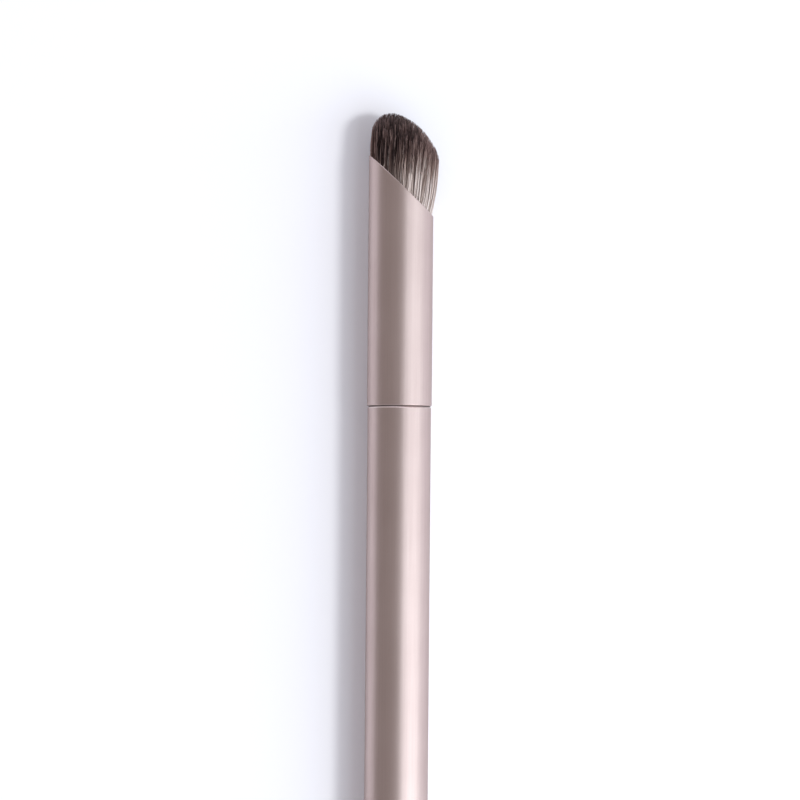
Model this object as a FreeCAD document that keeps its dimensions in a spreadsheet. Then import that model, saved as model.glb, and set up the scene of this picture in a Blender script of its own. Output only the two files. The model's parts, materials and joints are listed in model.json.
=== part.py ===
import FreeCAD, Part
import Sketcher
import math
import os

# An eyeshadow brush with a slant-cut ferrule and a tuft shaped like a fingertip.
# It lies on a table: its axis runs along Y with the tuft towards +Y, the table is at Z = 0,
# and the origin is on the table under the middle of the brush. Lengths are in millimetres.

# Driving dimensions, in millimetres, degrees and counts
SIZES = {
    # Handle: a plain tube
    "handle_diameter": 10.0,
    "handle_wall": 0.8,
    "handle_length": 102.1,
    "handle_edge_round": 0.3,
    "handle_bore_lead": 0.22,
    # End cap: a turned plug with a flange that closes the butt end
    "end_cap_thickness": 1.2,
    "end_cap_round": 0.4,
    "end_spigot_length": 7.0,
    "end_spigot_groove_count": 1,
    # Ferrule: a thin tube that stands out a little over the handle, cut at a slant
    "ferrule_overhang": 0.1,
    "ferrule_wall": 0.3,
    "ferrule_length": 34.7,
    "ferrule_foot_round": 0.14,
    "mouth_slant": 43.5,
    "rim_round": 0.08,
    # Coupling: a plug that joins the ferrule to the handle, with a thin collar between them
    "seam_gap": 0.1,
    "seam_recess": 0.16,
    "ferrule_spigot_length": 9.0,
    "ferrule_spigot_groove_count": 2,
    "handle_spigot_length": 16.0,
    "handle_spigot_groove_count": 3,
    "coupling_core_diameter": 4.5,
    "coupling_core_depth": 18.0,
    # Spigots of the coupling and the end cap: lead-in chamfers and grooves that hold glue
    "spigot_lead": 0.4,
    "glue_groove_width": 1.2,
    "glue_groove_depth": 0.25,
    "glue_groove_inset": 2.5,
    "glue_groove_pitch": 3.5,
    # Root plug: cured glue that holds the ends of the fibres
    "root_plug_gap": 0.5,
    "root_plug_floor": 3.0,
    "root_plug_cup": 2.5,
    # Tie thread: wound round the root of the bundle
    "thread_diameter": 0.45,
    "thread_pitch": 0.9,
    "thread_turns": 4,
    "thread_clear": 0.5,
    # Tuft: the fibre bundle
    "root_flare": 2.0,
    "tuft_reach": 11.5,
    # Glue line round each piece inside a tube, and the overrun of every cut
    "fit_clearance": 0.05,
    "cut_overrun": 1.0,
}

# Sections of the free part of the tuft, parallel to the mouth, from the mouth to the top.
# Across is the centre's offset to the low side of the mouth as a share of the bundle's radius,
# along is its height above the mouth as a share of the reach, and the half length and half depth
# are shares of those of the mouth's own ellipse.
TUFT_SECTION_SHARES = [
    # across, along, half length, half depth
    (0.0, 0.0, 1.0, 1.0),
    (0.046, 0.252, 1.071, 1.02),
    (0.128, 0.441, 1.057, 1.01),
    (0.264, 0.567, 0.988, 0.94),
    (0.451, 0.693, 0.796, 0.76),
    (0.56, 0.755, 0.554, 0.53),
    (0.61, 0.804, 0.2, 0.22),
]

# An edge lies on a plane if it is within this share of the handle's diameter of it.
EDGE_TOLERANCE_SHARE = 1e-5
EDGE_SAMPLES = 9
COIL_SAMPLES_PER_TURN = 90
FULL_TURN = 360
QUARTER_TURN = 90

# How a sketch numbers its origin, and the start and end of a line and the middle of a circle
ORIGIN_INDEX = (-1, 1)
POINT_NAMES = ("start", "end", "middle")
POINT_INDEX = {name: index for index, name in enumerate(POINT_NAMES, start=1)}

doc = FreeCAD.newDocument("EyeshadowBrush")
sheet = doc.addObject("Spreadsheet::Sheet", "Sizes")
for row, (alias, size) in enumerate(SIZES.items(), start=1):
    sheet.set(f"A{row}", alias)
    sheet.set(f"B{row}", str(size))
    sheet.setAlias(f"B{row}", alias)
doc.recompute()

# Radii worked out from the driving dimensions
handle_radius = "(Sizes.handle_diameter / 2)"
handle_bore_radius = f"({handle_radius} - Sizes.handle_wall)"
handle_spigot_radius = f"({handle_bore_radius} - Sizes.fit_clearance)"
ferrule_radius = f"({handle_radius} + Sizes.ferrule_overhang)"
ferrule_bore_radius = f"({ferrule_radius} - Sizes.ferrule_wall)"
bundle_radius = f"({ferrule_bore_radius} - Sizes.fit_clearance)"
tied_radius = f"({bundle_radius} - Sizes.thread_diameter - Sizes.fit_clearance)"
thread_coil_radius = f"({bundle_radius} - Sizes.thread_diameter / 2)"
collar_radius = f"({handle_radius} - Sizes.seam_recess)"

# The height of the brush's axis over the table, which the ferrule lies on
axis_height = ferrule_radius

# Stations along the brush, from the butt end to the tip
overall_length = (
    "(Sizes.end_cap_thickness + Sizes.handle_length + Sizes.seam_gap"
    " + Sizes.ferrule_length + Sizes.tuft_reach)"
)
handle_station = f"(Sizes.end_cap_thickness - {overall_length} / 2)"
ferrule_station = f"({handle_station} + Sizes.handle_length + Sizes.seam_gap)"
mouth_station = f"({ferrule_station} + Sizes.ferrule_length)"
root_plug_station = f"({ferrule_station} + Sizes.ferrule_spigot_length + Sizes.root_plug_gap)"
root_station = f"({root_plug_station} + Sizes.root_plug_floor)"
thread_rise = "(Sizes.thread_pitch * Sizes.thread_turns)"
thread_start = (
    f"({root_station} + Sizes.root_plug_cup + Sizes.thread_clear + Sizes.thread_diameter / 2)"
)
mouth_rise = f"({ferrule_radius} * tan(Sizes.mouth_slant))"


def measure(expression):
    """The value of an expression in the sheet's sizes."""
    return float(sheet.evalExpression(expression))


EDGE_TOLERANCE = EDGE_TOLERANCE_SHARE * measure("Sizes.handle_diameter")


def new_body(name, station):
    """A body with its own origin on the brush's axis, at a station along it."""
    body = doc.addObject("PartDesign::Body", name)
    body.Label = name
    place = f"placement(vector(0; {station}; {axis_height}); rotation(0; 0; 0))"
    body.setExpression("Placement", place)
    return body


def new_sketch(body, name):
    """An empty sketch on the body's lengthwise plane, where x is across and y is along the brush."""
    sketch = body.newObject("Sketcher::SketchObject", name)
    plane = next(f for f in body.Origin.OriginFeatures if f.Role == "XY_Plane")
    sketch.AttachmentSupport = [(plane, "")]
    sketch.MapMode = "FlatFace"
    return sketch


def pin_point(sketch, name, geometry, point, x, y):
    """Ties a point of a sketch to two expressions."""
    for side, kind, expression in (("x", "DistanceX", x), ("y", "DistanceY", y)):
        rule = Sketcher.Constraint(
            kind, *ORIGIN_INDEX, geometry, POINT_INDEX[point], measure(expression)
        )
        index = sketch.addConstraint(rule)
        sketch.renameConstraint(index, f"{name}_{side}")
        sketch.setExpression(f"Constraints.{name}_{side}", expression)


def outline(body, name, corners):
    """A sketch of straight lines through corners, each an (x, y) pair of expressions."""
    sketch = new_sketch(body, name)
    places = [FreeCAD.Vector(measure(x), measure(y), 0) for x, y in corners]
    for index, place in enumerate(places):
        sketch.addGeometry(Part.LineSegment(place, places[(index + 1) % len(places)]))
    for index, (x, y) in enumerate(corners):
        ends = (index, POINT_INDEX["end"], (index + 1) % len(corners), POINT_INDEX["start"])
        sketch.addConstraint(Sketcher.Constraint("Coincident", *ends))
        pin_point(sketch, f"corner{index}", index, "start", x, y)
    return sketch


def turned(body, name, corners):
    """Turns an outline round the brush's axis into a solid."""
    sketch = outline(body, f"{name}_outline", corners)
    solid = body.newObject("PartDesign::Revolution", f"{name}_turned")
    solid.Profile = sketch
    solid.ReferenceAxis = (sketch, ["V_Axis"])
    solid.Angle = FULL_TURN
    doc.recompute()
    return solid


def check_cut(body, before):
    """Stops if the body's last feature removed nothing."""
    if not body.Shape.Volume < before:
        raise RuntimeError(f"{body.Tip.Name} cuts nothing")


def grooved(body, name, radius, first, count, towards_butt):
    """Cuts a row of glue grooves into a spigot, from the middle of the first one on."""
    before = body.Shape.Volume
    low = f"({first} - Sizes.glue_groove_width / 2)"
    high = f"({first} + Sizes.glue_groove_width / 2)"
    floor = f"({radius} - Sizes.glue_groove_depth)"
    outside = f"({radius} + Sizes.cut_overrun)"
    corners = [(floor, low), (outside, low), (outside, high), (floor, high)]
    sketch = outline(body, f"{name}_groove_outline", corners)
    groove = body.newObject("PartDesign::Groove", f"{name}_groove")
    groove.Profile = sketch
    groove.ReferenceAxis = (sketch, ["V_Axis"])
    groove.Angle = FULL_TURN
    doc.recompute()
    row = body.newObject("PartDesign::LinearPattern", f"{name}_grooves")
    row.Originals = [groove]
    row.Direction = (sketch, ["V_Axis"])
    row.Reversed = towards_butt
    row.Mode = "Spacing"
    row.setExpression("Offset", "Sizes.glue_groove_pitch")
    row.setExpression("Occurrences", count)
    body.Tip = row
    doc.recompute()
    check_cut(body, before)


def slant_cut(body, name, centre):
    """Cuts away what stands above the mouth's slanting plane, which crosses the axis at centre."""
    before = body.Shape.Volume
    side = f"({ferrule_radius} + Sizes.cut_overrun)"
    rise = f"({side} * tan(Sizes.mouth_slant))"
    top = f"({centre} + {rise} + Sizes.cut_overrun)"
    corners = [
        (f"-{side}", f"({centre} + {rise})"),
        (side, f"({centre} - {rise})"),
        (side, top),
        (f"-{side}", top),
    ]
    cut = body.newObject("PartDesign::Pocket", f"{name}_slant")
    cut.Profile = outline(body, f"{name}_slant_outline", corners)
    cut.SideType = "Symmetric"
    cut.setExpression("Length", f"2 * {side}")
    doc.recompute()
    check_cut(body, before)
    return cut


def edges_on(feature, distance):
    """Names of the edges on which a function of x and y, a distance from a plane, stays at zero."""
    names = []
    for index, edge in enumerate(feature.Shape.Edges, start=1):
        if all(abs(distance(p.x, p.y)) < EDGE_TOLERANCE for p in edge.discretize(EDGE_SAMPLES)):
            names.append(f"Edge{index}")
    return names


def rings_at(feature, place, radius):
    """Names of the round edges of a radius at a place along the body's axis."""
    return [
        name for name in edges_on(feature, lambda x, y: y - place)
        if abs(feature.Shape.getElement(name).BoundBox.XMax - radius) < EDGE_TOLERANCE
    ]


def rounded(body, name, feature, edges, radius):
    """Rounds edges of a feature."""
    fillet = body.newObject("PartDesign::Fillet", name)
    fillet.Base = (feature, edges)
    fillet.setExpression("Radius", radius)
    doc.recompute()
    return fillet


def handle_tube():
    """The plain tube that is held in the fingers, open at both ends and rounded at their edges."""
    body = new_body("handle_tube", handle_station)
    lead = "Sizes.handle_bore_lead"
    length = "Sizes.handle_length"
    solid = turned(body, "handle_tube", [
        (f"{handle_bore_radius} + {lead}", "0"),
        (handle_radius, "0"),
        (handle_radius, length),
        (f"{handle_bore_radius} + {lead}", length),
        (handle_bore_radius, f"{length} - {lead}"),
        (handle_bore_radius, lead),
    ])
    outside = measure(handle_radius)
    end_edges = rings_at(solid, 0, outside) + rings_at(solid, measure(length), outside)
    rounded(body, "handle_tube_end_round", solid, end_edges, "Sizes.handle_edge_round")
    return body


def end_cap():
    """The plug that closes the butt end: a flange as wide as the handle, and a spigot glued into it."""
    body = new_body("end_cap", handle_station)
    length = "Sizes.end_spigot_length"
    butt = "-Sizes.end_cap_thickness"
    solid = turned(body, "end_cap", [
        ("0", butt),
        (handle_radius, butt),
        (handle_radius, "0"),
        (handle_spigot_radius, "0"),
        (handle_spigot_radius, f"{length} - Sizes.spigot_lead"),
        (f"{handle_spigot_radius} - Sizes.spigot_lead", length),
        ("0", length),
    ])
    outside = measure(handle_radius)
    butt_edges = rings_at(solid, measure(butt), outside)
    butt_round = rounded(body, "end_cap_butt_round", solid, butt_edges, "Sizes.end_cap_round")
    seat_edges = rings_at(butt_round, 0, outside)
    rounded(body, "end_cap_seat_round", butt_round, seat_edges, "Sizes.handle_edge_round")
    first = f"({length} - Sizes.glue_groove_inset)"
    grooved(body, "end_cap", handle_spigot_radius, first, "Sizes.end_spigot_groove_count", True)
    return body


def coupling():
    """The plug that joins ferrule and handle. Its collar shows between them as the dark seam."""
    body = new_body("coupling", ferrule_station)
    top = "Sizes.ferrule_spigot_length"
    collar_foot = "(-Sizes.seam_gap)"
    bottom = f"({collar_foot} - Sizes.handle_spigot_length)"
    core_radius = "(Sizes.coupling_core_diameter / 2)"
    core_top = f"({bottom} + Sizes.coupling_core_depth)"
    turned(body, "coupling", [
        ("0", top),
        (f"{bundle_radius} - Sizes.spigot_lead", top),
        (bundle_radius, f"{top} - Sizes.spigot_lead"),
        (bundle_radius, "0"),
        (collar_radius, "0"),
        (collar_radius, collar_foot),
        (handle_spigot_radius, collar_foot),
        (handle_spigot_radius, f"{bottom} + Sizes.spigot_lead"),
        (f"{handle_spigot_radius} - Sizes.spigot_lead", bottom),
        (core_radius, bottom),
        (core_radius, core_top),
        ("0", core_top),
    ])
    first_upper = f"({top} - Sizes.glue_groove_inset)"
    upper_count = "Sizes.ferrule_spigot_groove_count"
    grooved(body, "coupling_upper", bundle_radius, first_upper, upper_count, True)
    first_lower = f"({bottom} + Sizes.glue_groove_inset)"
    lower_count = "Sizes.handle_spigot_groove_count"
    grooved(body, "coupling_lower", handle_spigot_radius, first_lower, lower_count, False)
    return body


def ferrule():
    """The thin tube that holds the fibres, cut at a slant and rounded at its rim and its foot."""
    body = new_body("ferrule", ferrule_station)
    centre = "Sizes.ferrule_length"
    top = f"({centre} + {mouth_rise} + Sizes.cut_overrun)"
    turned(body, "ferrule", [
        (ferrule_bore_radius, "0"),
        (ferrule_radius, "0"),
        (ferrule_radius, top),
        (ferrule_bore_radius, top),
    ])
    cut = slant_cut(body, "ferrule", centre)
    centre_place = measure(centre)
    slope = math.radians(measure("Sizes.mouth_slant"))
    rim_edges = edges_on(
        cut, lambda x, y: x * math.sin(slope) + (y - centre_place) * math.cos(slope)
    )
    rim = rounded(body, "ferrule_rim_round", cut, rim_edges, "Sizes.rim_round")
    foot_edges = rings_at(rim, 0, measure(ferrule_radius))
    rounded(body, "ferrule_foot_round", rim, foot_edges, "Sizes.ferrule_foot_round")
    return body


def root_plug():
    """The cured glue behind the fibres: a disc with a cup that their ends stand in."""
    body = new_body("root_plug", root_plug_station)
    cup_radius = f"({tied_radius} + Sizes.fit_clearance)"
    top = "(Sizes.root_plug_floor + Sizes.root_plug_cup)"
    turned(body, "root_plug", [
        ("0", "0"),
        (bundle_radius, "0"),
        (bundle_radius, top),
        (cup_radius, top),
        (cup_radius, "Sizes.root_plug_floor"),
        ("0", "Sizes.root_plug_floor"),
    ])
    return body


def tie_thread():
    """The thread wound round the root of the bundle, one unbroken coil."""
    body = new_body("tie_thread", thread_start)
    section = new_sketch(body, "thread_section")
    middle = FreeCAD.Vector(measure(thread_coil_radius), 0, 0)
    across = FreeCAD.Vector(0, 0, 1)
    section.addGeometry(Part.Circle(middle, across, measure("Sizes.thread_diameter") / 2))
    pin_point(section, "middle", 0, "middle", thread_coil_radius, "0")
    rule = Sketcher.Constraint("Diameter", 0, measure("Sizes.thread_diameter"))
    section.renameConstraint(section.addConstraint(rule), "thread")
    section.setExpression("Constraints.thread", "Sizes.thread_diameter")
    coil = body.newObject("PartDesign::AdditiveHelix", "thread_coil")
    coil.Profile = section
    coil.ReferenceAxis = (section, ["V_Axis"])
    coil.Mode = "pitch-turns-angle"
    coil.setExpression("Pitch", "Sizes.thread_pitch")
    coil.setExpression("Turns", "Sizes.thread_turns")
    doc.recompute()
    return body


def coil_gap():
    """The least gap between neighbouring turns of the thread, measured on points of its line."""
    radius = measure(thread_coil_radius)
    count = COIL_SAMPLES_PER_TURN * int(measure("Sizes.thread_turns"))
    points = []
    for index in range(count):
        turn = index / COIL_SAMPLES_PER_TURN
        angle = 2 * math.pi * turn
        rise = turn * measure("Sizes.thread_pitch")
        points.append(FreeCAD.Vector(radius * math.cos(angle), rise, radius * math.sin(angle)))
    half_turn = COIL_SAMPLES_PER_TURN // 2
    least = min(
        points[i].distanceToPoint(points[j])
        for i in range(count)
        for j in range(i + half_turn, count)
    )
    return least - measure("Sizes.thread_diameter")


def tuft_root():
    """The part of the fibre bundle inside the ferrule, drawn in where the thread ties it."""
    body = new_body("tuft_root", mouth_station)
    foot = f"({root_station} - {mouth_station})"
    tied_top = (
        f"({thread_start} + {thread_rise} + Sizes.thread_diameter / 2"
        f" + Sizes.thread_clear - {mouth_station})"
    )
    top = f"({mouth_rise} + Sizes.cut_overrun)"
    turned(body, "tuft_root", [
        ("0", foot),
        (tied_radius, foot),
        (tied_radius, tied_top),
        (bundle_radius, f"({tied_top} + Sizes.root_flare)"),
        (bundle_radius, top),
        ("0", top),
    ])
    slant_cut(body, "tuft_root", "0")
    return body


def tuft_tip():
    """The free part of the bundle: a slanted dome that leans out over the low side of the mouth."""
    sections = []
    for index, (across, along, half_length, half_depth) in enumerate(TUFT_SECTION_SHARES):
        section = doc.addObject("Part::Ellipse", f"tuft_section{index}")
        place = f"vector({across} * {bundle_radius}; {along} * Sizes.tuft_reach; 0)"
        turn = f"rotation(-Sizes.mouth_slant; 0; {QUARTER_TURN})"
        section.setExpression("Placement", f"placement({place}; {turn})")
        mouth_half_length = f"({bundle_radius} / cos(Sizes.mouth_slant))"
        section.setExpression("MajorRadius", f"{half_length} * {mouth_half_length}")
        section.setExpression("MinorRadius", f"{half_depth} * {bundle_radius}")
        sections.append(section)
    dome = doc.addObject("Part::Loft", "tuft_tip")
    dome.Label = "tuft_tip"
    dome.Sections = sections
    dome.Solid = True
    place = f"placement(vector(0; {mouth_station}; {axis_height}); rotation(0; 0; 0))"
    dome.setExpression("Placement", place)
    doc.recompute()
    return dome


pieces = [
    handle_tube(),
    end_cap(),
    coupling(),
    ferrule(),
    root_plug(),
    tie_thread(),
    tuft_root(),
    tuft_tip(),
]

doc.recompute()
for item in doc.Objects:
    if {"Invalid", "Error"} & set(item.State):
        raise RuntimeError(f"{item.Name} failed: {item.State}")
for piece in pieces:
    if piece.Shape.isNull() or not piece.Shape.isValid() or len(piece.Shape.Solids) != 1:
        raise RuntimeError(f"{piece.Label} is not one sound solid")

os.makedirs("parts", exist_ok=True)
for piece in pieces:
    piece.Shape.exportStep(f"parts/{piece.Label}.step")
    print(f"{piece.Label}: {piece.Shape.Volume:.2f} cubic millimetres")
print(f"overall length {measure(overall_length):.2f} mm")
print(f"least gap between turns of the thread {coil_gap():.3f} mm")
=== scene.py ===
import json
import math

import bmesh
import bpy
import numpy as np
from mathutils import Matrix, Vector
from mathutils.bvhtree import BVHTree
from mathutils.kdtree import KDTree


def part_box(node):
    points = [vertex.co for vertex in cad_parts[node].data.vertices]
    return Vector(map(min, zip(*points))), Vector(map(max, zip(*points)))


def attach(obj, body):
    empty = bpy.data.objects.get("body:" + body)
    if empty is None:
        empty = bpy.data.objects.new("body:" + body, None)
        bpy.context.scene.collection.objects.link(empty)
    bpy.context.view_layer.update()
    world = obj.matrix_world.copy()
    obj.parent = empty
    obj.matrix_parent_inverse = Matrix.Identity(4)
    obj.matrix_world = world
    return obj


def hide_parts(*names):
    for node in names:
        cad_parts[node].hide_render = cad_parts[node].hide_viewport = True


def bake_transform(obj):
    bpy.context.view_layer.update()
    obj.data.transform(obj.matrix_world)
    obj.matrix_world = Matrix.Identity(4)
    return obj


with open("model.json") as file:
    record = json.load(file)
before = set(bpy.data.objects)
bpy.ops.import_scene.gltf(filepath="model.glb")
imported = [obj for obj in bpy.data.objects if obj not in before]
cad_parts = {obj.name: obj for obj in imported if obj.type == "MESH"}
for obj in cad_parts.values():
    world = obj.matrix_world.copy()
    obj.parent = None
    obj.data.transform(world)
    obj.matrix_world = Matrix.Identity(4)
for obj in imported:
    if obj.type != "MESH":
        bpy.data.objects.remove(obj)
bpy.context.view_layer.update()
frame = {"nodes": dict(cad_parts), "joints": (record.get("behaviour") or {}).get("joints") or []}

# Handle: a drawn aluminium tube, etched to a satin skin and anodised a warm champagne.
# It is glued over the coupling at its upper end and over the end cap's spigot at its butt,
# and the edges of both its ends are rounded over.
CHAMPAGNE = (0.628, 0.508, 0.483)
CHAMPAGNE_DEEP = (0.57, 0.453, 0.43)
SATIN_ROUGHNESS = (0.36, 0.46)
SATIN_BUMP = 0.05
GRAZING_TINT = 0.55
# Pale bare metal at the handle's ends: partly real wear, partly a painted highlight on the rounded edges.
BARE_ALUMINIUM_HIGHLIGHT = (0.86, 0.779, 0.756)
BURNISHED_ROUGHNESS = 0.28
HANDLE_WEAR_AND_HIGHLIGHT_REACH = 0.0004


def add_node(tree, kind, inputs=None, **options):
    """Adds a node, sets its options, and gives each named input a value or another node's output."""
    node = tree.nodes.new(kind)
    for name, value in options.items():
        setattr(node, name, value)
    for name, value in (inputs or {}).items():
        if isinstance(value, bpy.types.NodeSocket):
            tree.links.new(value, node.inputs[name])
        else:
            node.inputs[name].default_value = value
    return node


def make_group(name, inputs, outputs):
    """A node group with named sockets, and its input and output nodes."""
    group = bpy.data.node_groups.new(name, "ShaderNodeTree")
    for label, (kind, value) in inputs.items():
        socket = group.interface.new_socket(label, in_out="INPUT", socket_type=kind)
        socket.default_value = value
    for label, kind in outputs.items():
        group.interface.new_socket(label, in_out="OUTPUT", socket_type=kind)
    return group, group.nodes.new("NodeGroupInput"), group.nodes.new("NodeGroupOutput")


def satin_skin_group():
    """The etched and anodised skin: fine pits, faint lines along the drawn tube, and soft tone drift."""
    group, given, result = make_group(
        "satin_skin",
        {
            "Pale": ("NodeSocketColor", (*CHAMPAGNE, 1)),
            "Deep": ("NodeSocketColor", (*CHAMPAGNE_DEEP, 1)),
            "Smoothest": ("NodeSocketFloat", SATIN_ROUGHNESS[0]),
            "Roughest": ("NodeSocketFloat", SATIN_ROUGHNESS[1]),
        },
        {"Colour": "NodeSocketColor", "Roughness": "NodeSocketFloat", "Height": "NodeSocketFloat"},
    )
    place = add_node(group, "ShaderNodeTexCoord").outputs["Object"]
    pits = add_node(
        group, "ShaderNodeTexNoise", {"Vector": place, "Scale": 14000.0, "Detail": 2.0}
    ).outputs["Fac"]
    drawn = add_node(
        group, "ShaderNodeMapping", {"Vector": place, "Scale": (1.0, 0.012, 1.0)}
    ).outputs["Vector"]
    lines = add_node(
        group, "ShaderNodeTexNoise", {"Vector": drawn, "Scale": 4200.0, "Detail": 3.0}
    ).outputs["Fac"]
    drift = add_node(
        group, "ShaderNodeTexNoise", {"Vector": place, "Scale": 130.0, "Detail": 2.0}
    ).outputs["Fac"]
    texture = add_node(
        group, "ShaderNodeMath", {0: lines, 1: pits}, operation="ADD"
    ).outputs[0]
    tone = add_node(
        group, "ShaderNodeMath", {0: texture, 1: drift}, operation="ADD"
    ).outputs[0]
    share = add_node(
        group,
        "ShaderNodeMapRange",
        {"Value": tone, "From Min": 1.1, "From Max": 1.9, "To Min": 0.0, "To Max": 1.0},
    ).outputs["Result"]
    colour = add_node(
        group,
        "ShaderNodeMix",
        {"Factor": share, "A": given.outputs["Pale"], "B": given.outputs["Deep"]},
        data_type="RGBA",
    )
    roughness = add_node(
        group,
        "ShaderNodeMapRange",
        {
            "Value": texture,
            "From Min": 0.7,
            "From Max": 1.3,
            "To Min": given.outputs["Smoothest"],
            "To Max": given.outputs["Roughest"],
        },
    ).outputs["Result"]
    group.links.new(colour.outputs[2], result.inputs["Colour"])
    group.links.new(roughness, result.inputs["Roughness"])
    group.links.new(texture, result.inputs["Height"])
    return group


satin_skin = satin_skin_group()


def new_material(name):
    """An empty node material with its shader."""
    material = bpy.data.materials.new(name)
    material.use_nodes = True
    tree = material.node_tree
    return material, tree, tree.nodes["Principled BSDF"]


def worn_and_highlit_edge_group():
    """Where an edge is rubbed bare and carries a painted highlight: full at the edge, uneven, and gone at
    its reach.
    """
    group, given, result = make_group(
        "worn_and_highlit_edge",
        {"Depth": ("NodeSocketFloat", 0.0), "Reach": ("NodeSocketFloat", HANDLE_WEAR_AND_HIGHLIGHT_REACH)},
        {"Mask": "NodeSocketFloat"},
    )
    place = add_node(group, "ShaderNodeTexCoord").outputs["Object"]
    patch = add_node(
        group, "ShaderNodeTexNoise", {"Vector": place, "Scale": 1600.0, "Detail": 3.0}
    ).outputs["Fac"]
    share = add_node(
        group, "ShaderNodeMapRange", {"Value": patch, "To Min": 0.6, "To Max": 1.4}
    ).outputs["Result"]
    reach = add_node(
        group, "ShaderNodeMath", {0: given.outputs["Reach"], 1: share}, operation="MULTIPLY"
    ).outputs[0]
    mask = add_node(
        group,
        "ShaderNodeMapRange",
        {"Value": given.outputs["Depth"], "From Max": reach, "To Min": 1.0, "To Max": 0.0},
        interpolation_type="SMOOTHSTEP",
    ).outputs["Result"]
    group.links.new(mask, result.inputs["Mask"])
    return group


worn_and_highlit_edge = worn_and_highlit_edge_group()


def satin_metal(name, worn_and_highlit_edges):
    """Anodised aluminium with the satin skin. A worn edge, partly rubbed bare and partly a painted
    highlight, is a point on it, the way out and a reach.
    """
    material, tree, shader = new_material(name)
    skin = add_node(tree, "ShaderNodeGroup", node_tree=satin_skin)
    for label, value in (
        ("Pale", (*CHAMPAGNE, 1)),
        ("Deep", (*CHAMPAGNE_DEEP, 1)),
        ("Smoothest", SATIN_ROUGHNESS[0]),
        ("Roughest", SATIN_ROUGHNESS[1]),
    ):
        skin.inputs[label].default_value = value
    colour = skin.outputs["Colour"]
    roughness = skin.outputs["Roughness"]
    place = add_node(tree, "ShaderNodeTexCoord").outputs["Object"]
    for point, way_out, reach in worn_and_highlit_edges:
        height = add_node(
            tree, "ShaderNodeVectorMath", {0: place, 1: way_out}, operation="DOT_PRODUCT"
        ).outputs["Value"]
        depth = add_node(
            tree, "ShaderNodeMath", {0: Vector(way_out).dot(point), 1: height}, operation="SUBTRACT"
        ).outputs[0]
        wear_and_highlight = add_node(tree, "ShaderNodeGroup", node_tree=worn_and_highlit_edge)
        wear_and_highlight.inputs["Reach"].default_value = reach
        tree.links.new(depth, wear_and_highlight.inputs["Depth"])
        mask = wear_and_highlight.outputs["Mask"]
        colour = add_node(
            tree,
            "ShaderNodeMix",
            {"Factor": mask, "A": colour, "B": (*BARE_ALUMINIUM_HIGHLIGHT, 1)},
            data_type="RGBA",
        ).outputs[2]
        roughness = add_node(
            tree, "ShaderNodeMix", {"Factor": mask, "A": roughness, "B": BURNISHED_ROUGHNESS}
        ).outputs[0]
    relief = add_node(
        tree,
        "ShaderNodeBump",
        {"Height": skin.outputs["Height"], "Strength": SATIN_BUMP, "Distance": 0.00002},
    )
    shader.inputs["Metallic"].default_value = 1.0
    shader.inputs["Specular Tint"].default_value = (GRAZING_TINT, GRAZING_TINT, GRAZING_TINT, 1)
    tree.links.new(colour, shader.inputs["Base Color"])
    tree.links.new(roughness, shader.inputs["Roughness"])
    tree.links.new(relief.outputs["Normal"], shader.inputs["Normal"])
    return material


def dress(node, material):
    """Gives a CAD node its finish."""
    for slot in frame["nodes"][node].material_slots:
        slot.material = material


# The pale band at both ends of the handle is partly rubbed bare metal and partly a painted highlight on
# the rounded edges.
handle_low, handle_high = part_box("handle_tube")
handle_worn_and_highlit_edges = [
    (handle_high, (0, 1, 0), HANDLE_WEAR_AND_HIGHLIGHT_REACH),
    (handle_low, (0, -1, 0), HANDLE_WEAR_AND_HIGHLIGHT_REACH),
]
dress("handle_tube", satin_metal("handle_satin", handle_worn_and_highlit_edges))

# End cap: a plug turned from aluminium bar and anodised with the handle. Its flange closes the
# butt end, its spigot is glued inside the tube, and the lathe has left fine rings on its face.
LATHE_PITCH = 0.0003
LATHE_BUMP = 0.6
WAVE_PERIOD = math.pi / 10


def turn_rings(material, centre):
    """Adds the fine rings that a lathe tool leaves on a faced end."""
    tree = material.node_tree
    shader = tree.nodes["Principled BSDF"]
    place = add_node(tree, "ShaderNodeTexCoord").outputs["Object"]
    place = add_node(
        tree, "ShaderNodeVectorMath", {0: place, 1: centre}, operation="SUBTRACT"
    ).outputs["Vector"]
    rings = add_node(
        tree,
        "ShaderNodeTexWave",
        {"Vector": place, "Scale": WAVE_PERIOD / LATHE_PITCH, "Distortion": 0.0},
        wave_type="RINGS",
        rings_direction="Y",
    ).outputs["Fac"]
    satin = shader.inputs["Normal"].links[0].from_socket
    relief = add_node(
        tree,
        "ShaderNodeBump",
        {"Height": rings, "Strength": LATHE_BUMP, "Distance": 0.00001, "Normal": satin},
    ).outputs["Normal"]
    tree.links.new(relief, shader.inputs["Normal"])
    return material


cap_low, cap_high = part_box("end_cap")
dress("end_cap", turn_rings(satin_metal("cap_satin", []), (cap_low + cap_high) / 2))

# Coupling: a moulded plug that carries the ferrule on the handle. Only its thin collar shows,
# as the dark line between the two tubes. The collar's dark brown is partly painted shade in the
# narrow gap of the seam.
# Dark brown of the collar: partly its own colour, partly painted shade in the seam's gap.
COLLAR_SHADE_BROWN = (0.081, 0.064, 0.058)
COLLAR_SHADE_BROWN_PALE = (0.128, 0.105, 0.093)


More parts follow.
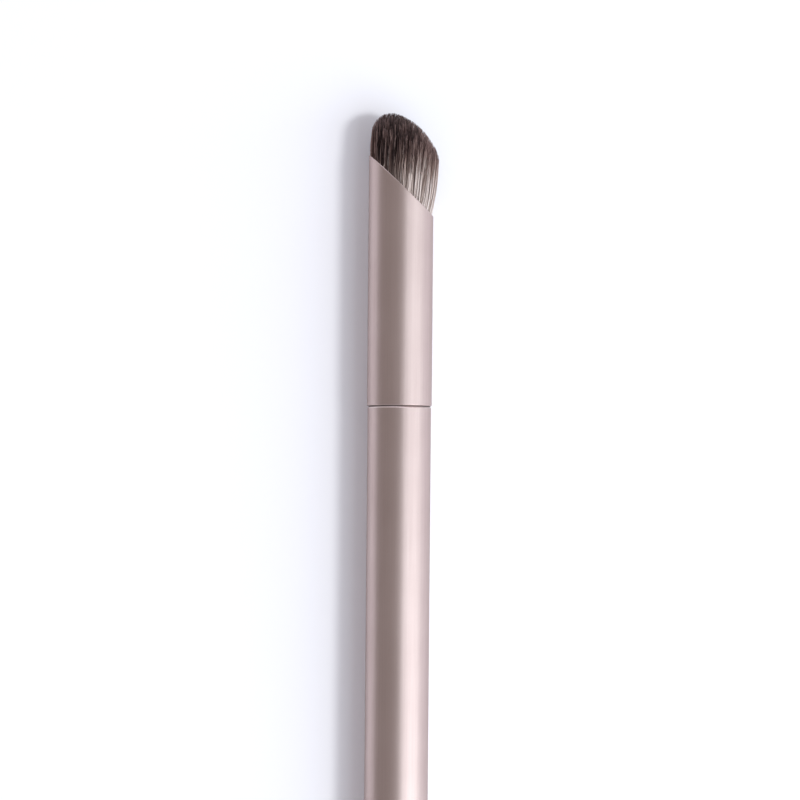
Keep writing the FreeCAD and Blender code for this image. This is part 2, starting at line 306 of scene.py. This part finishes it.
def moulded_plastic(name):
    """Matte plastic with the fine spark texture of its mould."""
    material, tree, shader = new_material(name)
    place = add_node(tree, "ShaderNodeTexCoord").outputs["Object"]
    spark = add_node(
        tree, "ShaderNodeTexNoise", {"Vector": place, "Scale": 6000.0, "Detail": 4.0}
    ).outputs["Fac"]
    colour = add_node(
        tree,
        "ShaderNodeMix",
        {"Factor": spark, "A": (*COLLAR_SHADE_BROWN, 1), "B": (*COLLAR_SHADE_BROWN_PALE, 1)},
        data_type="RGBA",
    ).outputs[2]
    roughness = add_node(
        tree, "ShaderNodeMapRange", {"Value": spark, "To Min": 0.55, "To Max": 0.75}
    ).outputs["Result"]
    relief = add_node(
        tree, "ShaderNodeBump", {"Height": spark, "Strength": 0.2, "Distance": 0.00003}
    ).outputs["Normal"]
    tree.links.new(colour, shader.inputs["Base Color"])
    tree.links.new(roughness, shader.inputs["Roughness"])
    tree.links.new(relief, shader.inputs["Normal"])
    return material


dress("coupling", moulded_plastic("coupling_moulded"))

# Ferrule: a thin aluminium tube, cut at a slant to follow the tuft. It is anodised like the handle
# and pushed over the coupling's upper spigot.
mouth_centre = Vector(frame["joints"][0]["pos_m"])
root_low, root_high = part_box("tuft_root")
bundle_radius = root_high.x
mouth_slant = math.atan2(root_high.y - mouth_centre.y, bundle_radius)
mouth_normal = Vector((math.sin(mouth_slant), math.cos(mouth_slant), 0))
dress("ferrule", satin_metal("ferrule_satin", []))

# Root plug: amber glue that was poured in behind the fibres and has set hard inside the ferrule.
# It holds the ends of the fibres and closes the ferrule towards the coupling.
GLUE_AMBER = (0.42, 0.25, 0.07)
GLUE_AMBER_DEEP = (0.3, 0.16, 0.04)


def set_glue(name):
    """Cured resin, glossy, with cloudy streaks."""
    material, tree, shader = new_material(name)
    place = add_node(tree, "ShaderNodeTexCoord").outputs["Object"]
    cloud = add_node(
        tree, "ShaderNodeTexNoise", {"Vector": place, "Scale": 700.0, "Detail": 4.0}
    ).outputs["Fac"]
    colour = add_node(
        tree,
        "ShaderNodeMix",
        {"Factor": cloud, "A": (*GLUE_AMBER, 1), "B": (*GLUE_AMBER_DEEP, 1)},
        data_type="RGBA",
    ).outputs[2]
    roughness = add_node(
        tree, "ShaderNodeMapRange", {"Value": cloud, "To Min": 0.12, "To Max": 0.3}
    ).outputs["Result"]
    tree.links.new(colour, shader.inputs["Base Color"])
    tree.links.new(roughness, shader.inputs["Roughness"])
    return material


dress("root_plug", set_glue("glue_set"))

# Tie thread: cotton thread wound four times round the root of the bundle before it is glued,
# to draw the fibres in.
THREAD_DIAMETER = 0.00045
THREAD_PITCH = 0.0009
THREAD_TURNS = 4
THREAD_SIDES = 10
STEPS_PER_TURN = 48
THREAD_PALE = (0.7, 0.64, 0.55)
THREAD_DEEP = (0.5, 0.44, 0.36)


def show_mesh(mesh_builder, name, material):
    """Turns a finished bmesh into an object at the origin with its finish."""
    mesh = bpy.data.meshes.new(name)
    mesh_builder.to_mesh(mesh)
    mesh_builder.free()
    mesh.materials.append(material)
    mesh.shade_smooth()
    piece = bpy.data.objects.new(name, mesh)
    bpy.context.scene.collection.objects.link(piece)
    return piece


def twisted_thread(name):
    """Two-ply cotton: slanting plies across the thread and a soft matte surface."""
    material, tree, shader = new_material(name)
    place = add_node(tree, "ShaderNodeTexCoord").outputs["Object"]
    ply = add_node(
        tree,
        "ShaderNodeTexWave",
        {"Vector": place, "Scale": 900.0, "Distortion": 1.5, "Detail": 2.0},
        bands_direction="DIAGONAL",
    ).outputs["Fac"]
    colour = add_node(
        tree,
        "ShaderNodeMix",
        {"Factor": ply, "A": (*THREAD_DEEP, 1), "B": (*THREAD_PALE, 1)},
        data_type="RGBA",
    ).outputs[2]
    relief = add_node(
        tree, "ShaderNodeBump", {"Height": ply, "Strength": 0.4, "Distance": 0.00005}
    ).outputs["Normal"]
    tree.links.new(colour, shader.inputs["Base Color"])
    tree.links.new(relief, shader.inputs["Normal"])
    shader.inputs["Roughness"].default_value = 0.85
    return material


thread_low, thread_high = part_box("tie_thread")
winding = bmesh.new()
thread_radius = THREAD_DIAMETER / 2
coil_radius = thread_high.x - thread_radius
thread_start = (thread_low.y + thread_high.y - THREAD_PITCH * THREAD_TURNS) / 2
thread_end = bmesh.ops.create_circle(
    winding,
    cap_ends=True,
    segments=THREAD_SIDES,
    radius=thread_radius,
    matrix=Matrix.Translation((coil_radius, thread_start, mouth_centre.z)),
)
bmesh.ops.spin(
    winding,
    geom=winding.verts[:] + winding.edges[:] + winding.faces[:],
    cent=(0, 0, mouth_centre.z),
    axis=(0, 1, 0),
    dvec=(0, THREAD_PITCH / STEPS_PER_TURN, 0),
    angle=2 * math.pi * THREAD_TURNS,
    steps=STEPS_PER_TURN * THREAD_TURNS,
)
bmesh.ops.recalc_face_normals(winding, faces=winding.faces)
tie_winding = show_mesh(winding, "tie_winding", twisted_thread("thread_cotton"))
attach(tie_winding, "brush")
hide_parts("tie_thread")

# Bundle root: the packed fibres inside the ferrule, drawn in under the thread and swelling to fill
# the tube. Its top lies just below the mouth, where the fibres part.
FIBRE_ROOT = (0.64, 0.547, 0.488)
# Painted shade between the packed fibres.
FIBRE_ROOT_PAINTED_SHADE = (0.186, 0.145, 0.128)
ROOT_STEPS = 96
ROOT_SINK = 0.0011
THREAD_BITE = 0.00005
FLARE_LENGTH = 0.0025
FLARE_KNEE = 0.0012
FLARE_KNEE_SHARE = 0.7
tied_radius = bundle_radius - THREAD_DIAMETER - THREAD_BITE


def packed_fibres(name):
    """Pale roots pressed side by side, as lines along the bundle, with painted shade in the darker lines
    between them.
    """
    material, tree, shader = new_material(name)
    place = add_node(tree, "ShaderNodeTexCoord").outputs["Object"]
    along = add_node(
        tree, "ShaderNodeMapping", {"Vector": place, "Scale": (1.0, 0.03, 1.0)}
    ).outputs["Vector"]
    lines = add_node(
        tree, "ShaderNodeTexNoise", {"Vector": along, "Scale": 9000.0, "Detail": 3.0}
    ).outputs["Fac"]
    share = add_node(
        tree, "ShaderNodeMapRange", {"Value": lines, "From Min": 0.35, "From Max": 0.65}
    ).outputs["Result"]
    colour = add_node(
        tree,
        "ShaderNodeMix",
        {"Factor": share, "A": (*FIBRE_ROOT_PAINTED_SHADE, 1), "B": (*FIBRE_ROOT, 1)},
        data_type="RGBA",
    ).outputs[2]
    relief = add_node(
        tree, "ShaderNodeBump", {"Height": lines, "Strength": 0.5, "Distance": 0.0001}
    ).outputs["Normal"]
    tree.links.new(colour, shader.inputs["Base Color"])
    tree.links.new(relief, shader.inputs["Normal"])
    shader.inputs["Roughness"].default_value = 0.6
    return material


bundle = bmesh.new()
flare_start = thread_high.y + THREAD_DIAMETER
bundle_outline = [
    (0.0, root_low.y),
    (tied_radius, root_low.y),
    (tied_radius, flare_start),
    (tied_radius + (bundle_radius - tied_radius) * FLARE_KNEE_SHARE, flare_start + FLARE_KNEE),
    (bundle_radius, flare_start + FLARE_LENGTH),
    (bundle_radius, root_high.y),
    (0.0, root_high.y),
]
outline_points = [bundle.verts.new((x, y, mouth_centre.z)) for x, y in bundle_outline]
for first, second in zip(outline_points, outline_points[1:]):
    bundle.edges.new((first, second))
bmesh.ops.spin(
    bundle,
    geom=bundle.verts[:] + bundle.edges[:],
    cent=(0, 0, mouth_centre.z),
    axis=(0, 1, 0),
    angle=2 * math.pi,
    steps=ROOT_STEPS,
    use_merge=True,
)
bmesh.ops.remove_doubles(bundle, verts=bundle.verts, dist=1e-7)
cut = bmesh.ops.bisect_plane(
    bundle,
    geom=bundle.verts[:] + bundle.edges[:] + bundle.faces[:],
    plane_co=mouth_centre - mouth_normal * ROOT_SINK,
    plane_no=mouth_normal,
    clear_outer=True,
)
cut_edges = [item for item in cut["geom_cut"] if isinstance(item, bmesh.types.BMEdge)]
bmesh.ops.edgeloop_fill(bundle, edges=cut_edges)
bmesh.ops.recalc_face_normals(bundle, faces=bundle.faces)
bundle_root = show_mesh(bundle, "bundle_root", packed_fibres("fibre_roots"))
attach(bundle_root, "brush")
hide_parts("tuft_root")

# Tuft: more than five thousand fine synthetic fibres, pale where they leave the ferrule and dyed dark
# brown at their ends. They stand in small locks, lean out over the low side of the mouth, and end
# on a slanted dome like a fingertip. Their colour also carries painted light and shade: darker inner
# fibres and a darker left side, a paler right side and paler ends.
FIBRE_COUNT = 5600
LOCK_COUNT = 1400
ROOT_JITTER = 0.00003
LOCK_JITTER = 0.00008
LOCK_PULL = (0.4, 0.85)
FIBRE_DIAMETER = 0.00015
THICKNESS_SPREAD = (0.8, 1.2)
FIBRE_BURIED = 0.0014
FIBRE_RINGS = 9
FIBRE_SIDES = 3
FIBRE_TAPER_FROM = 0.5
FIBRE_POINT = 0.18
LEAN_HIGH_SIDE = math.radians(-0.4)
LEAN_LOW_SIDE = math.radians(8.4)
LOW_SIDE_SWELL = 0.00022
LEAN_DEPTH = math.radians(2.0)
LOCK_LEAN_JITTER = 0.03
FIBRE_LEAN_JITTER = 0.012
END_JITTER = 0.00012
SHORT_SHARE = 0.12
SHORT_LENGTHS = (0.75, 0.97)
SHORT_LOCK_SHARE = 0.3
SHORT_LOCK_LENGTHS = (0.6, 0.95)
LEAST_LENGTH = 0.0004
RAY_START = 0.00002
LOW_SIDE_LOOSENESS = 0.5
BOW = 0.0001
DYE_LEVEL = 0.0053
DYE_DROOP = 0.004
DYE_SCALE = 0.016
DYE_TOP = 0.88
# The dark dye reaches further down towards both sides of the tuft; on the left side, away from the key,
# this is partly painted shade.
HIGH_SIDE_DYE_AND_SHADE_DROOP = 0.004
# Inner fibres are made darker: painted shade deep inside the tuft.
INSIDE_PAINTED_SHADE = -0.3
# How dark the fibres run across the tuft, from its left side (-1) to its right (1): part dye, part
# painted light and shade, paler at the right side, which faces the key, and darker left of the middle,
# which lies in shade.
SIDE_DYE_AND_LIGHT = (
    (-1.0, 0.35),
    (-0.85, 0.5),
    (-0.65, 4.0),
    (-0.3, 4.0),
    (-0.1, 2.8),
    (0.2, 1.2),
    (0.6, 0.45),
    (1.0, 0.3),
)
FIBRE_TONE_JITTER = 0.2
TONE_LIMITS = (0.03, 0.97)
TONE_SHIFT = (0.14, -0.11)
TONE_WIDTH = 0.02
FIBRE_ROUGHNESS = (0.45, 0.6)
FIBRE_SHEEN = 0.08
# Colour stops from a fibre's root (0) to its end (1). The paler last stops are painted light shining
# through the thin ends, and the dark root of the deep ramp is painted shade in the gaps between locks.
DEEP_DYE_SHADE_AND_LIT_ENDS = (
    (0.18, (0.233, 0.192, 0.178)),
    (0.36, (0.128, 0.097, 0.087)),
    (0.48, (0.07, 0.049, 0.044)),
    (0.58, (0.03, 0.02, 0.019)),
    (0.7, (0.015, 0.009, 0.009)),
    (0.9, (0.015, 0.009, 0.009)),
    (0.95, (0.023, 0.015, 0.015)),
    (1.0, (0.052, 0.036, 0.034)),
)
WARM_DYE_AND_LIT_ENDS = (
    (0.18, (0.52, 0.425, 0.382)),
    (0.36, (0.36, 0.268, 0.235)),
    (0.48, (0.256, 0.169, 0.145)),
    (0.58, (0.163, 0.101, 0.087)),
    (0.7, (0.099, 0.059, 0.052)),
    (0.9, (0.099, 0.059, 0.052)),
    (0.95, (0.128, 0.083, 0.074)),
    (1.0, (0.198, 0.14, 0.127)),
)
FADED_DYE_AND_LIT_ENDS = (
    (0.18, (0.74, 0.66, 0.63)),
    (0.36, (0.512, 0.419, 0.384)),
    (0.48, (0.419, 0.31, 0.281)),
    (0.58, (0.4, 0.284, 0.258)),
    (0.7, (0.37, 0.255, 0.23)),
    (0.9, (0.38, 0.265, 0.24)),
    (0.95, (0.43, 0.32, 0.297)),
    (1.0, (0.6, 0.478, 0.45)),
)
TUFT_PIECES = 4
GOLDEN_ANGLE = math.pi * (3 - math.sqrt(5))
draws = np.random.default_rng(11)


def spread_over_mouth(count, radius, jitter):
    """Points spread evenly over the round bundle, as rows of (across, up)."""
    index = np.arange(count)
    reach = radius * np.sqrt((index + 0.5) / count)
    turn = index * GOLDEN_ANGLE
    points = np.column_stack((reach * np.cos(turn), reach * np.sin(turn)))
    points += draws.normal(0, jitter, points.shape)
    size = np.linalg.norm(points, axis=1)
    return points * np.minimum(1, radius / size)[:, None]


roots = spread_over_mouth(FIBRE_COUNT, bundle_radius - FIBRE_DIAMETER / 3, ROOT_JITTER)
locks = spread_over_mouth(LOCK_COUNT, bundle_radius, LOCK_JITTER)
lock_tree = KDTree(LOCK_COUNT)
for index, (across, up) in enumerate(locks):
    lock_tree.insert((across, up, 0), index)
lock_tree.balance()
lock_of = np.array([lock_tree.find((across, up, 0))[1] for across, up in roots])
lock_pull = draws.uniform(*LOCK_PULL, LOCK_COUNT)
lock_tone = draws.random(LOCK_COUNT)
lock_lean = draws.normal(0, LOCK_LEAN_JITTER, (LOCK_COUNT, 2))

side_share = (roots[:, 0] / bundle_radius + 1) / 2
lean = LEAN_HIGH_SIDE + (LEAN_LOW_SIDE - LEAN_HIGH_SIDE) * side_share
heading = np.column_stack((
    np.tan(lean),
    np.ones(FIBRE_COUNT),
    np.tan(LEAN_DEPTH) * roots[:, 1] / bundle_radius,
))
outward = roots / np.linalg.norm(roots, axis=1)[:, None]
rim_share = np.linalg.norm(roots, axis=1) / bundle_radius


def keep_in(shift):
    """Takes away what would push the outermost fibres out of the tuft, and leaves the rest of a shift."""
    push = np.sum(shift * outward, axis=1) * rim_share ** 4
    return shift - push[:, None] * outward


fibre_lean = lock_lean[lock_of] + draws.normal(0, FIBRE_LEAN_JITTER, (FIBRE_COUNT, 2))
heading[:, [0, 2]] += keep_in(fibre_lean)
heading /= np.linalg.norm(heading, axis=1)[:, None]
mouth_points = np.column_stack((
    roots[:, 0],
    mouth_centre.y - roots[:, 0] * math.tan(mouth_slant),
    mouth_centre.z + roots[:, 1],
))

dome = frame["nodes"]["tuft_tip"].data
dome_surface = BVHTree.FromPolygons(
    [vertex.co for vertex in dome.vertices], [face.vertices for face in dome.polygons]
)
free_length = np.zeros(FIBRE_COUNT)
for index in range(FIBRE_COUNT):
    start = Vector(mouth_points[index]) + Vector(heading[index]) * RAY_START
    hit = dome_surface.ray_cast(start, Vector(heading[index]))
    free_length[index] = hit[3] or 0
free_length -= np.abs(draws.normal(0, END_JITTER, FIBRE_COUNT))
lock_is_short = draws.random(LOCK_COUNT) < SHORT_LOCK_SHARE
lock_length = np.where(lock_is_short, draws.uniform(*SHORT_LOCK_LENGTHS, LOCK_COUNT), 1.0)
free_length *= lock_length[lock_of]
short = draws.random(FIBRE_COUNT) < SHORT_SHARE
free_length[short] *= draws.uniform(*SHORT_LENGTHS, short.sum())
grown = free_length > LEAST_LENGTH

# Tone across the tuft: part dye, part painted light and shade.
dye_and_light_exponent = np.interp(roots[:, 0] / bundle_radius, *zip(*SIDE_DYE_AND_LIGHT))
tone = lock_tone[lock_of] ** dye_and_light_exponent + draws.normal(0, FIBRE_TONE_JITTER, FIBRE_COUNT)
# Darker inner fibres: painted shade between the locks.
tone += INSIDE_PAINTED_SHADE * (1 - rim_share)
tone = np.clip(tone, *TONE_LIMITS)
low_side = np.clip(roots[:, 0] / bundle_radius, 0, 1)
high_side = np.clip(-roots[:, 0] / bundle_radius, 0, 1)
# Where the dark begins on each fibre: dye, and on the left side partly painted shade.
dye_and_shade_line = mouth_centre.y + DYE_LEVEL - DYE_DROOP * low_side ** 3 - HIGH_SIDE_DYE_AND_SHADE_DROOP * high_side ** 2
thickness = FIBRE_DIAMETER / 2 * draws.uniform(*THICKNESS_SPREAD, FIBRE_COUNT)
roll = draws.uniform(0, 2 * math.pi, FIBRE_COUNT)
bow = draws.normal(0, BOW, (FIBRE_COUNT, 2))
bow[:, 0] += LOW_SIDE_SWELL * low_side ** 2
fibre_pull = lock_pull[lock_of] * (1 - LOW_SIDE_LOOSENESS * low_side)
gather = keep_in((locks[lock_of] - roots) * fibre_pull[:, None])


def dye_ramp(tree, place, stops):
    """The colour of a fibre from its root to its end."""
    ramp = add_node(tree, "ShaderNodeValToRGB", {"Fac": place})
    first, last = ramp.color_ramp.elements
    for stop, (position, colour) in ((first, stops[0]), (last, stops[-1])):
        stop.position, stop.color = position, (*colour, 1)
    for position, colour in stops[1:-1]:
        ramp.color_ramp.elements.new(position).color = (*colour, 1)
    return ramp.outputs["Color"]


def dye_and_light_fibre(name):
    """Fibre colour from root to dyed end, with painted light and shade in it. Across the map is the
    fibre's tone, along it the place.
    """
    material, tree, shader = new_material(name)
    chart = add_node(tree, "ShaderNodeUVMap", uv_map="OFBake").outputs["UV"]
    chart = add_node(tree, "ShaderNodeSeparateXYZ", {"Vector": chart})
    shift = add_node(
        tree,
        "ShaderNodeMapRange",
        {"Value": chart.outputs["X"], "To Min": TONE_SHIFT[0], "To Max": TONE_SHIFT[1]},
    ).outputs["Result"]
    place = add_node(
        tree, "ShaderNodeMath", {0: chart.outputs["Y"], 1: shift}, operation="ADD"
    ).outputs[0]
    colour = dye_ramp(tree, place, DEEP_DYE_SHADE_AND_LIT_ENDS)
    for stops, tones in ((WARM_DYE_AND_LIT_ENDS, (0.0, 0.5)), (FADED_DYE_AND_LIT_ENDS, (0.5, 1.0))):
        share = add_node(
            tree,
            "ShaderNodeMapRange",
            {"Value": chart.outputs["X"], "From Min": tones[0], "From Max": tones[1]},
        ).outputs["Result"]
        colour = add_node(
            tree,
            "ShaderNodeMix",
            {"Factor": share, "A": colour, "B": dye_ramp(tree, place, stops)},
            data_type="RGBA",
        ).outputs[2]
    tree.links.new(colour, shader.inputs["Base Color"])
    roughness = add_node(
        tree,
        "ShaderNodeMapRange",
        {"Value": chart.outputs["Y"], "To Min": FIBRE_ROUGHNESS[0], "To Max": FIBRE_ROUGHNESS[1]},
    ).outputs["Result"]
    tree.links.new(roughness, shader.inputs["Roughness"])
    shader.inputs["Specular IOR Level"].default_value = FIBRE_SHEEN
    return material


fibre = bmesh.new()
bmesh.ops.create_cone(
    fibre,
    cap_ends=True,
    segments=FIBRE_SIDES,
    radius1=1,
    radius2=1,
    depth=1,
    matrix=Matrix.Translation((0, 0, 0.5)),
)
long_edges = [e for e in fibre.edges if abs(e.verts[0].co.z - e.verts[1].co.z) > 0.5]
bmesh.ops.subdivide_edges(fibre, edges=long_edges, cuts=FIBRE_RINGS - 1, use_grid_fill=True)
fibre_template = bpy.data.meshes.new("fibre_template")
fibre.to_mesh(fibre_template)
fibre.free()
fibre_dye_and_light_material = dye_and_light_fibre("fibre_dye_and_light")


def lock_mesh(name, chosen):
    """A mesh of the chosen fibres, each bent along its own line."""
    locks_built = bmesh.new()
    for _ in chosen:
        locks_built.from_mesh(fibre_template)
    piece = show_mesh(locks_built, name, fibre_dye_and_light_material)
    mesh = piece.data
    shape = np.zeros(len(mesh.vertices) * 3)
    mesh.vertices.foreach_get("co", shape)
    shape = shape.reshape(len(chosen), -1, 3)
    along = shape[:, :, 2]
    length = free_length[chosen] + FIBRE_BURIED
    aim = heading[chosen]
    across = np.cross(aim, (0.0, 0.0, 1.0))
    across /= np.linalg.norm(across, axis=1)[:, None]
    up = np.cross(across, aim)
    base = mouth_points[chosen] - aim * FIBRE_BURIED
    path = base[:, None, :] + aim[:, None, :] * (along * length[:, None])[:, :, None]
    drawn = (along ** 1.5)[:, :, None]
    arch = np.sin(math.pi * along)[:, :, None]
    sideways = gather[chosen][:, None, :] * drawn + bow[chosen][:, None, :] * arch
    path[:, :, 0] += sideways[:, :, 0]
    path[:, :, 2] += sideways[:, :, 1]
    taper = np.clip((along - FIBRE_TAPER_FROM) / (1 - FIBRE_TAPER_FROM), 0, 1)
    width = thickness[chosen][:, None] * (1 - (1 - FIBRE_POINT) * taper ** 1.5)
    turn = np.arctan2(shape[:, :, 1], shape[:, :, 0]) + roll[chosen][:, None]
    path += (width * np.cos(turn))[:, :, None] * across[:, None, :]
    path += (width * np.sin(turn))[:, :, None] * up[:, None, :]
    mesh.vertices.foreach_set("co", path.ravel())
    chart = mesh.uv_layers.new(name="OFBake")
    corner = np.zeros(len(mesh.loops), dtype=np.int32)
    mesh.loops.foreach_get("vertex_index", corner)
    place = 0.5 + (path[:, :, 1] - dye_and_shade_line[chosen][:, None]) / DYE_SCALE
    # The very end of each fibre takes the last, palest stop: painted light through the thin end.
    place = np.where(along > 0.999, 1.0, np.clip(place, 0.01, DYE_TOP)).ravel()[corner]
    spin = np.broadcast_to(np.cos(turn) * TONE_WIDTH, along.shape)
    shade = (tone[chosen][:, None] + spin).ravel()[corner]
    chart.data.foreach_set("uv", np.column_stack((shade, place)).ravel())
    mesh.update()
    return piece


sector = ((np.arctan2(roots[:, 1], roots[:, 0]) / (2 * math.pi) + 0.5) * TUFT_PIECES).astype(int)
for number in range(TUFT_PIECES):
    chosen = np.flatnonzero(grown & (sector.clip(0, TUFT_PIECES - 1) == number))
    piece = lock_mesh(f"tuft_fibres_{number + 1}", chosen)
    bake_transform(piece)
    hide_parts("tuft_tip")

# Table: a plain white sheet that the brush lies on. It is a shade cooler than neutral,
# so that the shadow of the brush is bluish.
TABLE_SIDE = 8.0
TABLE_WHITE = (0.935, 0.945, 0.99)
TABLE_WHITE_PALE = (0.945, 0.955, 0.995)


def white_sheet(name):
    """Matte white with a barely visible tooth."""
    material, tree, shader = new_material(name)
    place = add_node(tree, "ShaderNodeTexCoord").outputs["Object"]
    tooth = add_node(
        tree, "ShaderNodeTexNoise", {"Vector": place, "Scale": 900.0, "Detail": 3.0}
    ).outputs["Fac"]
    colour = add_node(
        tree,
        "ShaderNodeMix",
        {"Factor": tooth, "A": (*TABLE_WHITE, 1), "B": (*TABLE_WHITE_PALE, 1)},
        data_type="RGBA",
    ).outputs[2]
    tree.links.new(colour, shader.inputs["Base Color"])
    shader.inputs["Roughness"].default_value = 1.0
    shader.inputs["Specular IOR Level"].default_value = 0.0
    return material


sheet = bmesh.new()
bmesh.ops.create_grid(sheet, x_segments=1, y_segments=1, size=TABLE_SIDE / 2)
table = show_mesh(sheet, "table", white_sheet("table_white"))

# Studio light: a soft key from the right, a softbox on the right for the bright band on the tubes,
# a strip beside the handle that only the metal shows, and a dim room that is brighter at both ends.
ROOM_DIM = 0.258
ROOM_BEYOND_TIP = 1.89
ROOM_BEYOND_BUTT = 0.69
ROOM_WARM = (1.06, 0.97, 0.92)
ROOM_COOL = (0.94, 0.96, 1.16)
scene = bpy.context.scene
scene.view_settings.view_transform = "Standard"

room = bpy.data.worlds.new("room")
scene.world = room
room.use_nodes = True
walls = room.node_tree
towards = add_node(walls, "ShaderNodeTexCoord").outputs["Generated"]
towards = add_node(walls, "ShaderNodeSeparateXYZ", {"Vector": towards}).outputs["Y"]
lengthwise = add_node(
    walls, "ShaderNodeMath", {0: towards, 1: towards}, operation="MULTIPLY"
).outputs[0]
tipwards = add_node(
    walls, "ShaderNodeMath", {0: towards, 1: 0.0}, operation="GREATER_THAN"
).outputs[0]
far_end = add_node(
    walls,
    "ShaderNodeMapRange",
    {"Value": tipwards, "To Min": ROOM_BEYOND_BUTT, "To Max": ROOM_BEYOND_TIP},
).outputs["Result"]
brightness = add_node(
    walls,
    "ShaderNodeMapRange",
    {"Value": lengthwise, "To Min": ROOM_DIM, "To Max": far_end},
).outputs["Result"]
tint = add_node(
    walls,
    "ShaderNodeMix",
    {"Factor": lengthwise, "A": (*ROOM_WARM, 1), "B": (*ROOM_COOL, 1)},
    data_type="RGBA",
).outputs[2]
walls.links.new(brightness, walls.nodes["Background"].inputs["Strength"])
walls.links.new(tint, walls.nodes["Background"].inputs["Color"])


def aim_lamp(name, data, place, target):
    """Puts a lamp in place and turns it to its target."""
    lamp = bpy.data.objects.new(name, data)
    lamp.location = place
    lamp.rotation_mode = "QUATERNION"
    lamp.rotation_quaternion = (Vector(target) - Vector(place)).to_track_quat("-Z", "Y")
    scene.collection.objects.link(lamp)
    lamp.visible_camera = False
    return lamp


key = bpy.data.lights.new("key", "SUN")
key.energy = 1.03
key.angle = math.radians(10)
key_lamp = aim_lamp("key", key, (0.56, -0.06, 0.8), (0, 0, 0))
key_lamp.visible_glossy = False

softbox = bpy.data.lights.new("softbox", "AREA")
softbox.shape = "RECTANGLE"
softbox.size = 1.2
softbox.size_y = 1.2
softbox.energy = 9.16
softbox.color = (0.842, 0.932, 1.0)
aim_lamp("softbox", softbox, (0.66, -0.45, 0.535), (0, -0.45, 0))

strip = bpy.data.lights.new("strip", "AREA")
strip.shape = "RECTANGLE"
strip.size = 0.1
strip.size_y = 0.34
strip.energy = 0.69
strip_lamp = aim_lamp("strip", strip, (0.3, -0.22, 0.07), (0, -0.22, 0))
strip_lamp.visible_diffuse = False

# Camera: above the brush and a little towards its butt end, with a long lens, so that the tubes
# show almost no taper. The butt end lies outside the picture.
PICTURE_WIDTH = 0.1259
CAMERA_DISTANCE = 1.0
CAMERA_TILT = math.radians(1.7)
CAMERA_ROLL = math.radians(0.5)
picture_centre = Vector((0.0001, 0.02956, mouth_centre.z))
camera = bpy.data.objects.new("camera", bpy.data.cameras.new("camera"))
camera.data.sensor_width = 36.0
camera.data.lens = camera.data.sensor_width * CAMERA_DISTANCE / PICTURE_WIDTH
camera.rotation_euler = (CAMERA_TILT, 0, CAMERA_ROLL)
view_axis = camera.rotation_euler.to_matrix() @ Vector((0, 0, 1))
camera.location = picture_centre + view_axis * CAMERA_DISTANCE
camera.data.clip_start = 0.01
scene.collection.objects.link(camera)
scene.camera = camera
